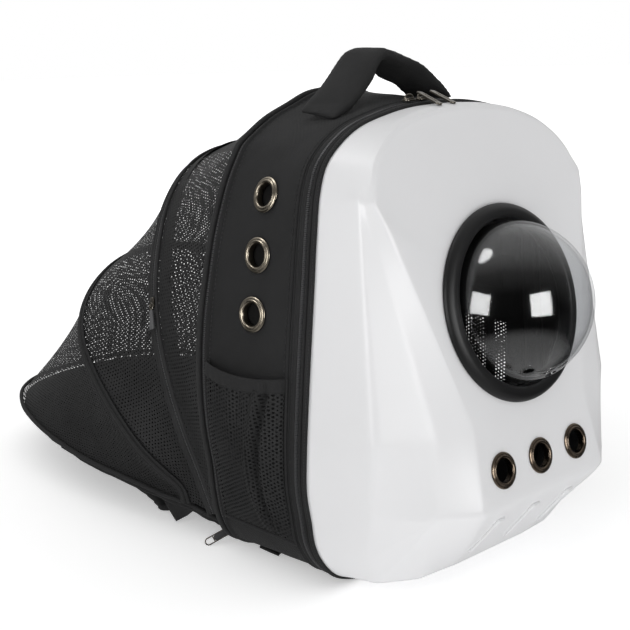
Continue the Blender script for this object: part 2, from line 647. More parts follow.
# ---------------------------------------------------------------- padded pieces
def puffed(obj, voxel=0.005, pressure=4.0, cap=0.004, frames=20, pin=None):
    """Voxel remesh, then cloth pressure, with a cap on how far a point moves."""
    r = obj.modifiers.new("remesh", "REMESH")
    r.mode, r.voxel_size = "VOXEL", voxel
    dg = bpy.context.evaluated_depsgraph_get()
    me = bpy.data.meshes.new_from_object(obj.evaluated_get(dg))
    obj.modifiers.clear()
    mats = list(obj.data.materials)
    obj.data = me
    me.materials.clear()
    for m in mats:
        me.materials.append(m)
    start = np.empty(len(me.vertices) * 3)
    me.vertices.foreach_get("co", start)
    c = obj.modifiers.new("cloth", "CLOTH")
    c.settings.use_pressure = True
    c.settings.uniform_pressure_force = pressure
    c.settings.quality = 4
    c.settings.effector_weights.gravity = 0
    c.settings.tension_stiffness = c.settings.compression_stiffness = 12
    c.settings.bending_stiffness = 0.3
    c.point_cache.frame_start, c.point_cache.frame_end = 1, frames
    if pin is not None:
        g = obj.vertex_groups.new(name="held")
        for v in me.vertices:
            w = pin(v.co)
            if w > 0:
                g.add([v.index], w, "REPLACE")
        c.settings.vertex_group_mass = "held"
    for f in range(1, frames + 1):
        scene.frame_set(f)
    dg = bpy.context.evaluated_depsgraph_get()
    ev = obj.evaluated_get(dg)
    end = np.empty(len(me.vertices) * 3)
    ev.data.vertices.foreach_get("co", end)
    obj.modifiers.clear()
    scene.frame_set(1)
    move = (end - start).reshape(-1, 3)
    size = np.linalg.norm(move, axis=1)
    scale = np.minimum(1.0, cap / np.maximum(size, 1e-9))
    end = start.reshape(-1, 3) + move * scale[:, None]
    end[:, 2] = np.maximum(end[:, 2], 0.0002)
    me.vertices.foreach_set("co", end.ravel())
    me.polygons.foreach_set("use_smooth", [True] * len(me.polygons))
    me.update()
    s = obj.modifiers.new("smooth", "SUBSURF")
    s.levels = s.render_levels = 1
    return obj


# carry handle: a padded strip that has slumped towards one side
path = resample(catmull([(x, HANDLE_Y, z) for x, z in HANDLE]), 56)
tang = np.gradient(path, axis=0)
tang /= np.linalg.norm(tang, axis=1)[:, None]
G = []
for i, (p, t) in enumerate(zip(path, tang)):
    s = i / 56
    row = []
    ends = min(1.0, min(s, 1 - s) / 0.12)
    thick = HANDLE_THICK * (0.5 + 0.42 * ends)
    wide = HANDLE_WIDTH * np.interp(s, [0, 0.3, 0.6, 1], [1.12, 1.1, 1.0, 1.0])
    turn = np.interp(s, [0, 0.12, 0.30, 0.42, 0.50, 0.62, 0.88, 1.0], [-8, -16, -20, -9, 8, 25, 24, 10])
    turn = math.radians(turn)
    lift = np.array([-t[2], 0, t[0]])
    p = p - lift * abs(math.sin(turn)) * wide * 0.48      # it turns about the edge that stays up
    over, side_ = lift * math.cos(turn) + np.array([0, math.sin(turn), 0]), np.array([0, math.cos(turn), 0]) - lift * math.sin(turn)
    for k in range(28):
        a = 2 * math.pi * k / 28
        c, d = math.cos(a), math.sin(a)
        u = math.copysign(abs(c) ** 0.45, c) * wide / 2
        w = math.copysign(abs(d) ** 0.75, d) * thick / 2
        q = p + over * w + side_ * u
        row.append(q)
    G.append(row)
G = np.array(G)
V = np.vstack([G.reshape(-1, 3), G[0].mean(0), G[-1].mean(0)])
F = grid_faces(57, 28, False, True)
for k in range(28):
    F.append((57 * 28, (k + 1) % 28, k))
    F.append((57 * 28 + 1, 56 * 28 + k, 56 * 28 + (k + 1) % 28))
handle = outward(new_object("carry_handle_pad", V, F, M_HANDLE, node="carry_handle", slot="black_fabric"))
puffed(handle, voxel=0.0036, pressure=5.0, cap=0.0022, pin=lambda c: 1.0 if c.z < 0.402 else 0.0)


# back panel, lying down as the tent's floor
def panel_top(y):
    return 31 + 0.078 * (y - 160) - 17 * math.exp(-(y - 134) / 18)


panel_half = spaced([(x, y, 0) for x, y in PANEL], 90)[:, :2]
panel_loop = np.vstack([panel_half, panel_half[1:-1][::-1] * [-1, 1]])
PT = np.roll(panel_loop, -1, 0) - np.roll(panel_loop, 1, 0)
PT /= np.linalg.norm(PT, axis=1)[:, None]


def panel_inset(d):
    return panel_loop + np.column_stack([-PT[:, 1], PT[:, 0]]) * d


def panel_level(d, dz):
    return np.array([(x, y, panel_top(y) + dz) for x, y in panel_inset(d)])


test = panel_inset(5.0)
PSIGN = 1.0 if abs(test[45, 0]) < abs(panel_loop[45, 0]) else -1.0
levels = [(13, -PANEL_THICK + 0.8), (5, -PANEL_THICK + 1.4), (2.2, -PANEL_THICK + 3.2), (1.4, -PANEL_THICK / 2), (2.2, -3.2), (6, -1.4), (14, -0.7)]
rows_p = [panel_level(PSIGN * d, dz) for d, dz in levels]
n_p = len(panel_loop)
V = np.vstack(rows_p)
F = grid_faces(len(levels), n_p, False, True)
for k, flip in ((0, True), (len(levels) - 1, False)):
    for i in range(n_p // 2):
        a, b, c, d = k * n_p + i, k * n_p + i + 1, k * n_p + (n_p - i - 1) % n_p, k * n_p + (n_p - i) % n_p
        q = [a, b, c, d]
        q = [v for j, v in enumerate(q) if v not in q[:j]]
        F.append(tuple(q[::-1] if flip else q))
panel = outward(new_object("back_panel_pad", V, F, M_PANEL, node="back_panel", slot="black_fabric"))
puffed(panel, voxel=0.0052, pressure=4.0, cap=0.0016, pin=lambda c: 1.0 if c.y < 0.075 else 0.0)

# shoulder straps folded under the panel
for s, side in ((-1, "l"), (1, "r")):
    line = catmull([(s * 112, 232, 6), (s * 100, 270, 6), (s * 89, 330, 6), (s * 81, 390, 7.5), (s * 76, 432, 14), (s * 72, 470, 27), (s * 70, 512, 40.5)], 8)
    line = resample(line, 44)
    T = np.gradient(line, axis=0)
    G = []
    for p, t in zip(line, T):
        t = np.array([t[0], t[1], 0]) / math.hypot(t[0], t[1])
        w = np.array([-t[1], t[0], 0])
        row = []
        for k in range(24):
            a = 2 * math.pi * k / 24
            c, d = math.cos(a), math.sin(a)
            u = math.copysign(abs(c) ** 0.35, c) * 27.4
            h = math.copysign(abs(d) ** 0.8, d) * 5.3
            row.append(p + w * u + np.array([0, 0, h]))
        G.append(row)
    G = np.array(G)
    V = np.vstack([G.reshape(-1, 3), G[0].mean(0), G[-1].mean(0)])
    V[:, 2] = np.maximum(V[:, 2], 0.2)
    F = grid_faces(45, 24, False, True)
    for k in range(24):
        F.append((45 * 24, (k + 1) % 24, k))
        F.append((45 * 24 + 1, 44 * 24 + k, 44 * 24 + (k + 1) % 24))
    strap = outward(new_object("shoulder_strap_pad_" + side, V, F, M_STRAP, node="shoulder_strap_" + side, slot="black_fabric"))
    puffed(strap, voxel=0.0048, pressure=3.0, cap=0.001)

# ---------------------------------------------------------------- front shell
top_rows = []
for i, (rx, rz, cx, cz) in enumerate(SHELL_TOP):
    p, q = SHELL_TOP[max(0, i - 1)], SHELL_TOP[min(len(SHELL_TOP) - 1, i + 1)]
    tx, tz = q[2] - p[2], q[3] - p[3]
    l = math.hypot(tx, tz)
    nx, nz = (0, 1) if i == 0 else (-tz / l, tx / l)
    if nz < 0:
        nx, nz = -nx, -nz
    top_rows.append([(rx, 0, rz), (cx + 5 * nx, crown(cz) + 10, cz + 5 * nz), (cx + 3.4 * nx, crown(cz) + 3.2, cz + 3.4 * nz), (cx, crown(cz), cz)])
low_rows = [[(rx, 0, rz), (ax, ay, az), (bx, by, bz), (cx, crown(cz), cz)] for rx, rz, ax, ay, az, bx, by, bz, cx, cz in SHELL_LOW]
HOLE_R = RING_INNER + 3.6


def flat_round(x, z, r):
    l = math.hypot(x, z - WINDOW_Z)
    qx, qz = x * r / l, WINDOW_Z + (z - WINDOW_Z) * r / l
    return (qx, plateau(qz), qz)


half_rows = [np.array(r + [flat_round(r[3][0], r[3][2], RING_OUTER + 5), flat_round(r[3][0], r[3][2], HOLE_R)], float) for r in top_rows + low_rows]
N_TOP = len(top_rows)
rim_fine = resample(catmull(RIM, 24), 900)


def on_rim(x, z):
    d = (rim_fine[:, 0] - x) ** 2 + (rim_fine[:, 1] - z) ** 2
    return rim_fine[int(d.argmin())]


stations = []
for i in range(len(half_rows) - 1):
    a, b = half_rows[i], half_rows[i + 1]
    steps = max(4, int(round(max(np.linalg.norm(a[:4] - b[:4], axis=1).max() / 3.0, 1))))
    if np.allclose(a[3], b[3]) and not np.allclose(a[2], b[2]):
        steps = 12           # as many as the strip between b and c has cells, so that their points meet
    prev = half_rows[i - 1] if i else half_rows[1] * [-1, 1, 1]
    nxt = half_rows[i + 2] if i + 2 < len(half_rows) else b
    for k in range(steps):
        t = k / steps
        if i < N_TOP:      # smooth arch over the top
            m1 = (b - prev) / 2
            m2 = (nxt - a) / 2 if i < N_TOP - 1 else (b - a)
            h = (2 * t ** 3 - 3 * t * t + 1) * a + (t ** 3 - 2 * t * t + t) * m1 + (-2 * t ** 3 + 3 * t * t) * b + (t ** 3 - t * t) * m2
        else:
            h = a * (1 - t) + b * t
        stations.append(h)
stations.append(half_rows[-1])
for h in stations:
    x, z = on_rim(h[0][0], h[0][2])
    h[0][0], h[0][2] = x, max(0.0, z)
    for c, r in ((4, RING_OUTER + 5), (5, HOLE_R)):
        h[c] = flat_round(h[c][0], h[c][2], r)
    h[3][1] = crown(h[3][2])
full_st = stations + [s * [-1, 1, 1] for s in stations[1:-1][::-1]]
cols = []
for j, n in enumerate((18, 13, 12, 18, 4)):
    for k in range(n):
        cols.append((j, k / n))
cols.append((4, 1.0))
G = np.array([[s[j] * (1 - t) + s[j + 1] * t for j, t in cols] for s in full_st])
n_s, n_c = G.shape[:2]
bm = bmesh.new()
vs = [bm.verts.new(p) for p in G.reshape(-1, 3)]
flat_G = G.reshape(-1, 3)
for f in grid_faces(n_s, n_c, True, False):
    A, B, C_, D_ = (flat_G[i] for i in f)
    if np.linalg.norm(np.cross(C_ - A, D_ - B)) < 0.02:
        continue
    try:
        bm.faces.new([vs[i] for i in f])
    except ValueError:
        pass
bmesh.ops.remove_doubles(bm, verts=bm.verts, dist=0.03)
bmesh.ops.delete(bm, geom=[v for v in bm.verts if not v.link_faces], context="VERTS")
bmesh.ops.dissolve_degenerate(bm, edges=bm.edges, dist=0.01)
bmesh.ops.recalc_face_normals(bm, faces=bm.faces)
bm.verts.ensure_lookup_table()
co = np.array([v.co[:] for v in bm.verts])
fixed = np.array([v.is_boundary for v in bm.verts])
tris = []
for f in bm.faces:
    i = [v.index for v in f.verts]
    tris += [(i[0], i[k], i[k + 1]) for k in range(1, len(i) - 1)]
tris = np.array(tris)
for it in range(2):
    # every point moves towards the middle of the area round it, which rounds the creases evenly
    A, B, C_ = co[tris[:, 0]], co[tris[:, 1]], co[tris[:, 2]]
    area = np.linalg.norm(np.cross(B - A, C_ - A), axis=1) + 1e-9
    mid_t = (A + B + C_) / 3 * area[:, None]
    acc, wsum = np.zeros_like(co), np.zeros(len(co))
    for k in range(3):
        np.add.at(acc, tris[:, k], mid_t)
        np.add.at(wsum, tris[:, k], area)
    move = acc / wsum[:, None] - co
    move[fixed] = 0
    co = co + move
for v, p in zip(bm.verts, co):
    v.co = p
# inner skin, one wall behind
bm.normal_update()
nrm = np.array([v.normal[:] for v in bm.verts])
mid = co.mean(0)
if (nrm * (co - [0, 0, 200])).sum() < 0:
    nrm = -nrm
outer_n = len(co)
print("shell skin", len(co), "points,", "open edges", sum(e.is_boundary for e in bm.edges), "odd edges", sum(not e.is_manifold and not e.is_boundary for e in bm.edges))
inner = co - nrm * SHELL_WALL
inner[:, 1] = np.where(fixed & (co[:, 1] > -1), 0.0, inner[:, 1])
faces_o = [tuple(v.index for v in f.verts) for f in bm.faces]
b_edges = [(e.verts[0].index, e.verts[1].index) for e in bm.edges if e.is_boundary]
bm.free()
V = np.vstack([co, inner])
F = list(faces_o) + [tuple(i + outer_n for i in f[::-1]) for f in faces_o]
mats_idx = [0] * len(faces_o) + [1] * len(faces_o)
F += [(a, b, b + outer_n, a + outer_n) for a, b in b_edges]
mats_idx += [0] * len(b_edges)
shell = new_object("front_shell_moulded", V, F, materials=[M_SHELL, M_INSIDE], face_mats=mats_idx, node="front_shell", slot="shell_white")
bm = bmesh.new()
bm.from_mesh(shell.data)
bmesh.ops.recalc_face_normals(bm, faces=bm.faces)
bm.to_mesh(shell.data)
bm.free()
eyelet_x = (-EYELET_PITCH, 0.0, EYELET_PITCH)
cut(shell, [rod(EYELET_HOLE + 1.7, 30, FACE, on_face(x, EYELET_Z)) for x in eyelet_x])
shell.data.polygons.foreach_set("use_smooth", [True] * len(shell.data.polygons))
wn = shell.modifiers.new("even_shading", "WEIGHTED_NORMAL")
wn.keep_sharp = True

# three raised marks on the lower bevel: a slim rib with a squared head
bevel_top, bevel_foot = Vector((0, -121.5, 85)), Vector((0, -60, 11.5))
down = (bevel_foot - bevel_top).normalized()
bevel_out = Vector((1, 0, 0)).cross(down).normalized()
if bevel_out.y > 0:
    bevel_out = -bevel_out
marks = Parts()
for x0 in eyelet_x:
    cx = x0 * 0.96 + 2
    for (x_lo, x_hi, d0, d1, high) in ((-2.6, 2.6, 26, 73, 2.5), (-4.6, 4.6, 19, 28.5, 3.1)):
        n_d, n_x = 20, 7
        GV = []
        for i in range(n_d + 1):
            d = d0 + (d1 - d0) * i / n_d
            e = min(1.0, min(i, n_d - i) / 1.6)
            for k in range(n_x + 1):
                a = math.pi * k / n_x
                xx = cx + (x_lo + x_hi) / 2 - (x_hi - x_lo) / 2 * math.copysign(abs(math.cos(a)) ** 0.6, math.cos(a))
                hh = high * (abs(math.sin(a)) ** 0.5) * e - 0.5
                GV.append(bevel_top + down * d + bevel_out * hh + Vector((xx, 0, 0)))
        F = grid_faces(n_d + 1, n_x + 1)
        ring = [i * (n_x + 1) for i in range(n_d + 1)] + [n_d * (n_x + 1) + k for k in range(1, n_x + 1)] + [i * (n_x + 1) + n_x for i in range(n_d - 1, -1, -1)] + list(range(n_x - 1, 0, -1))
        F.append(tuple(ring[::-1]))
        marks.add(GV, F)
outward(marks.make("shell_marks", M_SHELL, slot="shell_white"))

# ---------------------------------------------------------------- ring and dome
centre = on_face(0, WINDOW_Z)
ring_profile = rounded([
    (RING_INNER + 0.2, 4.4), (RING_INNER + 0.9, 7.2), (RING_INNER + 2.6, 8.3), (RING_OUTER - 5.5, 7.9), (RING_OUTER - 1.4, 5.0), (RING_OUTER, 2.0), (RING_OUTER - 0.4, 0.2),
    (RING_INNER + 3.2, 0.2), (RING_INNER + 3.2, -SHELL_WALL - 0.3), (RING_OUTER - 5, -SHELL_WALL - 0.3), (RING_OUTER - 5, -6.5), (RING_INNER + 0.2, -6.5)])
V, F, _ = lathe(ring_profile, 128, FACE, centre)
outward(new_object("window_ring_gasket", V, F, M_RUBBER, node="window_ring", slot="black_rubber"))
dome_profile = [(DOME_OUTER * math.cos(a), DOME_OUTER * math.sin(a)) for a in np.linspace(0, math.pi / 2 - 0.001, 40)]
dome_profile += [((DOME_OUTER - DOME_WALL) * math.cos(a), (DOME_OUTER - DOME_WALL) * math.sin(a)) for a in np.linspace(math.pi / 2 - 0.001, 0, 40)]
dome_profile += [(DOME_OUTER - DOME_WALL, -5.5), (DOME_OUTER, -5.5)]
V, F, _ = lathe(dome_profile, 112, FACE, centre)
dome = outward(new_object("window_dome_clear", V, F, M_DOME, node="window_dome", slot="clear_acrylic"))
holes = []
for x, upw in ((-29, -55), (-3, -62)):
    d = (Vector((x, 0, 0)) + FACE * math.sqrt(DOME_OUTER ** 2 - x * x - upw * upw) + FACE_UP * upw).normalized()
    holes.append(rod(5.2, 16, d, centre + d * DOME_OUTER, 32))
cut(dome, holes)
dome.data.polygons.foreach_set("use_smooth", [True] * len(dome.data.polygons))
mid_w = Vector(world([centre])[0])
split = []
for poly in dome.data.polygons:
    for li in poly.loop_indices:
        d = dome.data.vertices[dome.data.loops[li].vertex_index].co - mid_w
        n = poly.normal.copy()
        if d.length > 0.05 and abs(d.normalized().dot(n)) > 0.9 and d.dot(Vector(FACE)) > -0.0005:
            n = d.normalized() * (1 if d.dot(n) > 0 else -1)
        split.append(n)
dome.data.normals_split_custom_set(split)


# ---------------------------------------------------------------- eyelets
def eyelet(name, wall, lift, axis, at, material, node, slot):
    prof = rounded([(EYELET_HOLE, 0.4 + lift), (EYELET_HOLE + 0.5, 2.0 + lift), (EYELET_HOLE + 2.2, 2.5 + lift), (EYELET_HOLE + 3.0, 1.5 + lift), (EYELET_R - 1.4, 1.8 + lift), (EYELET_R, 0.8 + lift),
                    (EYELET_R, lift), (EYELET_HOLE + 1.2, lift), (EYELET_HOLE + 1.2, -wall - 1.2), (EYELET_HOLE, -wall - 1.2)])
    V, F, _ = lathe(prof, 64, axis, at)
    return outward(new_object(name, V, F, material, node=node, slot=slot))


for i, x in enumerate(eyelet_x):
    eyelet(f"front_eyelet_{i + 1}", SHELL_WALL, 0.1, FACE, on_face(x, EYELET_Z), M_BRONZE, f"front_grommet_{i + 1}", "dark_bronze")

# ---------------------------------------------------------------- zip band between shell and gusset
band_profile = [(0.3, -3.0), (0.3, 0.4), (0.7, 1.6), (1.6, 2.3), (2.8, 2.6), (4.0, 2.3), (4.8, 1.4), (5.1, 0.2), (5.3, -0.9), (5.9, -1.1), (6.4, -0.6), (6.8, 0.5), (7.6, 1.1), (8.8, 1.2), (9.8, 0.9),
                (10.2, 0.1), (10.4, -0.5), (11.2, -0.6), (13.6, -0.6), (14.1, -0.4), (14.4, 0.4), (15.4, 0.9), (17.5, 1.0), (19.6, 0.8), (20.6, 0.3), (21.0, -0.5), (21.4, -0.6), (22.0, 0.4), (22.8, 0.6), (22.9, -0.2), (22.9, -CLOTH),
                (16.0, -CLOTH), (8.0, -2.8)]
band = ring_body("shell_binding_tape", band_profile, M_BAND, node="shell_binding", slot="black_fabric")
coil = Parts()
y_coil = 12.4
lp = loop_at(y_coil, -0.1)
lp = np.vstack([lp, lp[:1]])
ln = loop_normals(y_coil)
ln = np.vstack([ln, ln[:1]])
boxes_along(coil, lp, ln, 1.55, (1.1, 3.1, 1.5))
coil.make("door_zip_coil", M_COIL, slot="black_fabric", smooth=False)
seams = Parts()


def seam_row(y, out, pitch=4.2, **kw):
    lp, ln = loop_at(y, out), loop_normals(y)
    stitches(seams, np.vstack([lp, lp[:1]]), np.vstack([ln, ln[:1]]), pitch, **kw)


seam_row(1.2, 1.95, 2.6, length=1.7, wide=0.6, high=0.4)
seam_row(8.6, 1.15, 3.4, length=2.3, wide=0.6, high=0.35)
seam_row(18.6, 0.9, 3.4, length=2.3, wide=0.6, high=0.35)

# ---------------------------------------------------------------- gusset
G_OUT = [(23.3, -0.4), (23.5, 0.7), (24.4, 1.35), (25.6, 1.2), (26.3, 0.45), (26.9, 0.1)]
ys = list(np.linspace(28.5, 116.5, 34))
prof = G_OUT + [(y, 0.0) for y in ys] + [(118.0, 0.0), (118.7, 0.9), (119.7, 1.9), (120.9, 2.1), (122.0, 1.6), (122.6, 0.4), (122.9, -1.0), (123.6, -1.5), (125.4, -1.6), (127.0, -1.5), (127.7, -0.8)]
inner_prof = [(127.7, -CLOTH - 0.9), (121.0, -CLOTH - 0.2), (90.0, -CLOTH), (58.0, -CLOTH), (30.0, -CLOTH), (23.3, -CLOTH)]
rows_g = []
for y, o in prof:
    base = loop_at(y)
    soft = np.array([fit_noise(p, 46, 1.0, 3.0) + fit_noise(p, 19, 0.35, 9.0) for p in base])
    fade = min(1.0, max(0.0, (y - 27) / 10), max(0.0, (117 - y) / 10)) if 27 < y < 117 else 0.0
    # the cloth rises a little into its sewn edges and sinks between them
    belly = -0.5 * math.sin(math.pi * min(1, max(0, (y - 27) / 90)))
    on_floor = np.clip((base[:, 2] - 1) / 12, 0, 1)
    rows_g.append(loop_at(y, o + (soft * fade + belly) * on_floor))
for y, o in inner_prof:
    rows_g.append(loop_at(y, o, floor=CLOTH))
G = np.array(rows_g)
gusset = outward(new_object("gusset_cloth", G.reshape(-1, 3), grid_faces(len(G), STATIONS, True, True), M_CLOTH, uv=arc_uv(G), node="gusset", slot="black_fabric"))
side_eyelets = []
cutters = []
for s in (-1, 1):
    for i, z in enumerate(SIDE_EYELET_Z):
        p, n = wall_at(SIDE_EYELET_Y, z, s)
        cutters.append(rod(EYELET_HOLE + 1.7, 24, n, p))
        side_eyelets.append((f"{'l' if s < 0 else 'r'}{i + 1}", p, n))
for y0, y1 in ((47.0, 65.0), (75.0, 104.0)):
    p, n = wall_at(0.5 * (y0 + y1), 132, 1)
    V = [(p.x + dx, y, z) for dx in (-14, 14) for y in (y0, y1) for z in (88, 172)]
    cutters.append((V, [(0, 1, 3, 2), (4, 6, 7, 5), (0, 4, 5, 1), (2, 3, 7, 6), (0, 2, 6, 4), (1, 5, 7, 3)]))
cut(gusset, cutters)
gusset.data.polygons.foreach_set("use_smooth", [True] * len(gusset.data.polygons))
for tag, p, n in side_eyelets:
    eyelet("side_eyelet_" + tag, CLOTH, 0.55, n, p, M_NICKEL, "side_grommet_" + tag, "antique_nickel")
NETS_LATER = []
W_G = []
for i in range(25):
    z = 84 + 92 * i / 24
    W_G.append([])
    for k in range(17):
        y = 42 + 4.2 * k
        p, n = wall_at(y, z, 1)
        W_G[-1].append(p - n * (CLOTH + 0.8 + fit_noise((p.x, y, z), 30, 0.5, 4.0)))
NETS_LATER.append(np.array(W_G))
for s, side in ((-1, "l"), (1, "r")):
    # a fine dark screen cloth inside the wall, behind the three eyelets
    S = []
    for i in range(37):
        z = 208 + 150 * i / 36
        S.append([])
        for k in range(11):
            y = SIDE_EYELET_Y - 20 + 4 * k
            p, n = wall_at(y, z, s)
            edge = min(i, 36 - i, k, 10 - k)
            d = CLOTH + 0.6 + (1.6 if edge > 0 else 0) + fit_noise((p.x, y, z), 30, 0.5, 5.0)
            S[-1].append(p - n * d)
    S = np.array(S)
    sc = new_object("eyelet_screen_" + side, S.reshape(-1, 3), grid_faces(37, 11), M_SCREEN, uv=arc_uv(S), slot="black_fabric")
seam_row(28.4, 0.1, 4.0)
seam_row(116.6, 0.1, 4.0)
seam_row(122.0, 1.5, 3.0, length=1.9, wide=0.5, high=0.3)
seams.make("seam_stitches", M_THREAD, slot="black_fabric", smooth=False)

# rear piping and the zip in the groove before it
a = np.linspace(0, 2 * math.pi, 15)[:-1]
ring_body("rear_piping_cord", [(131.3 + 2.9 * math.cos(t), -0.5 + 2.9 * math.sin(t)) for t in a], M_PIPING, node="rear_piping", slot="black_fabric")
rear_coil = Parts()
lp = loop_at(125.3, -1.6)
ln = loop_normals(125.3)
boxes_along(rear_coil, np.vstack([lp, lp[:1]]), np.vstack([ln, ln[:1]]), 1.7, (1.2, 2.6, 1.2))
rear_coil.make("rear_zip_coil", M_COIL, slot="black_fabric", smooth=False)


# ---------------------------------------------------------------- nets
def net(name, G, open_share=0.20, along=3.5, across=3.9, node=None, flat=None, lattice_turn=False):
    """A net of hexagonal holes over the grid G; G[i, j] runs across with i and along with j."""
    n, m = G.shape[:2]
    midrow = G[n // 2]
    d = np.concatenate([[0], np.cumsum(np.linalg.norm(np.diff(midrow, axis=0), axis=1))])
    cross = np.linalg.norm(np.diff(G, axis=0), axis=2)
    width = cross.sum(0)
    if lattice_turn:
        along, across = across, along
    L, W = d[-1], width.max()
    b, a = along, across
    nu, nv = int(L / b) + 2, int(W / a) + 2
    iu, iv = np.meshgrid(np.arange(-1, nu + 1), np.arange(-nv // 2 - 1, nv // 2 + 2), indexing="ij")
    cu = (iu * b).ravel().astype(float)
    cv = (iv * a + (iu % 2) * a / 2).ravel().astype(float)

    def st(u, v):
        j = np.interp(u, d, np.arange(m))
        w = np.interp(u, d, width)
        return j, 0.5 + v / w
    j, t = st(cu, cv)
    keep = (t > 0.0) & (t < 1.0) & (cu > 0) & (cu < L)
    cu, cv = cu[keep], cv[keep]
    w1, w2 = b / 3, 2 * b / 3
    C = np.array([(w1, a / 2), (w2, 0), (w1, -a / 2), (-w1, -a / 2), (-w2, 0), (-w1, a / 2)])
    outer = np.stack([cu[:, None] + C[:, 0], cv[:, None] + C[:, 1]], -1)
    k = math.sqrt(open_share)
    rng = np.random.default_rng(len(cu))
    size_j = np.clip(1 + 0.12 * rng.standard_normal((len(cu), 1, 1)), 0.75, 1.25)
    place_j = np.clip(rng.standard_normal((len(cu), 1, 2)), -1.4, 1.4) * 0.18
    H = np.array([(math.cos(math.radians(q)), math.sin(math.radians(q))) for q in (50, 0, -50, -130, 180, 130)]) * [k * b * 0.60, k * a * 0.55]
    hole = np.stack([cu, cv], -1)[:, None, :] + H[None] * size_j + place_j
    key = np.round(outer.reshape(-1, 2) * 16).astype(np.int64)
    uniq, inv = np.unique(key, axis=0, return_inverse=True)
    inv = inv.reshape(-1)
    nu_v = len(uniq)
    UV = np.vstack([uniq / 16.0, hole.reshape(-1, 2)])
    jj, tt = st(np.clip(UV[:, 0], 0, L), UV[:, 1])
    tt = np.clip(tt, 0, 1)
    ii = tt * (n - 1)
    i0 = np.minimum(ii.astype(int), n - 2)
    j0 = np.minimum(jj.astype(int), m - 2)
    fi, fj = (ii - i0)[:, None], (jj - j0)[:, None]
    P = (G[i0, j0] * (1 - fi) * (1 - fj) + G[i0 + 1, j0] * fi * (1 - fj) + G[i0, j0 + 1] * (1 - fi) * fj + G[i0 + 1, j0 + 1] * fi * fj)
    cells = len(cu)
    oi = inv.reshape(cells, 6)
    hi = nu_v + np.arange(cells * 6).reshape(cells, 6)
    F = np.stack([oi, np.roll(oi, -1, 1), np.roll(hi, -1, 1), hi], -1).reshape(-1, 4)
    A = P[F]
    area = np.linalg.norm(np.cross(A[:, 2] - A[:, 0], A[:, 3] - A[:, 1]), axis=1)
    F = F[area > 0.02]
    used = np.zeros(len(P), bool)
    used[F.ravel()] = True
    remap = np.cumsum(used) - 1
    P, F, UV = P[used], remap[F], UV[used]
    o = new_object(name, P, F, M_NET, uv=UV, node=node, slot="black_netting", smooth=True)
    du, dv = np.gradient(G, axis=1), np.gradient(G, axis=0)
    return o


net("wall_window_netting", NETS_LATER[0], open_share=0.30, along=3.5, across=3.7)
ARC_N = 150


def arch(A, n=ARC_N):
    half = [(x, A["foot_y"] + A["lean"] * (z - A["foot_z"]), z) for x, z in A["half"]] + [A["toe"]]
    left = [(-x, y, z) for x, y, z in half][::-1]
    return spaced(left + half[1:], n)


arch1, arch2 = arch(ARCH_1), arch(ARCH_2)
rear_half = [(x, GUSSET_REAR + 7.4, z) for x, z in REAR if z >= 37] + [(147, GUSSET_REAR + 7.4, 27)]
rear_arc = spaced([(-x, y, z) for x, y, z in rear_half][::-1] + rear_half[1:], ARC_N)
edge_half = [(max(0, x - 3.4), y - (3.4 if x < 100 else 0), panel_top(y) - 1.2) for x, y in PANEL if y >= 208][::-1]
panel_edge = spaced([(-x, y, z) for x, y, z in edge_half][::-1] + edge_half[1:], ARC_N)
HUB = np.array([0.0, 235.0, 60.0])


def net_grid(A, B, gap_a, gap_b, sag, steps, wrinkle=1.5, seed=1.0):
    G = []
    l = np.linalg.norm(A - B, axis=1)[:, None]
    for i in range(steps + 1):
        s = i / steps
        t = gap_a / l + (1 - gap_b / l - gap_a / l) * s
        P = A * (1 - t) + B * t
        to = HUB - P
        d = np.linalg.norm(to, axis=1)[:, None]
        k = sag * math.sin(math.pi * s) * np.minimum(1, l / 120)
        rip = np.array([wrinkle * math.sin(math.pi * s) * noise.noise(Vector((j * 0.055 + seed * 7, s * 1.6, seed))) for j in range(len(P))])[:, None] * np.minimum(1, l / 60)
        G.append(P + to / d * (k + rip))
    return np.array(G)


net_1 = net_grid(rear_arc, arch1, -0.6, TAPE / 2 - 2.0, 5, 16, 2.2, 1.0)
net("tent_netting_1", net_1, node="tent_net_1")
net_2 = net_grid(arch1, arch2, TAPE / 2 - 2.0, 1.2, 8, 22, 3.2, 2.0)
net("tent_netting_2", net_2, node="tent_net_2")
net_3 = net_grid(arch2, panel_edge, 1.2, -4.5, 8, 26, 3.2, 3.0)
net("tent_netting_3", net_3, node="tent_net_3")

# ---------------------------------------------------------------- arches
def frame_along(A, before, after):
    """Across direction (towards after) and outward normal along an arch."""
    W = after - before
    T = np.gradient(A, axis=0)
    T /= np.linalg.norm(T, axis=1)[:, None]
    W -= T * (W * T).sum(1)[:, None]
    W /= np.linalg.norm(W, axis=1)[:, None]
    N = np.cross(T, W)
    out = A - HUB
    N *= np.sign((N * out).sum(1))[:, None]
    for _ in range(6):
        N[1:-1] = (N[:-2] + 2 * N[1:-1] + N[2:]) / 4
        W[1:-1] = (W[:-2] + 2 * W[1:-1] + W[2:]) / 4
    N /= np.linalg.norm(N, axis=1)[:, None]
    return W, N


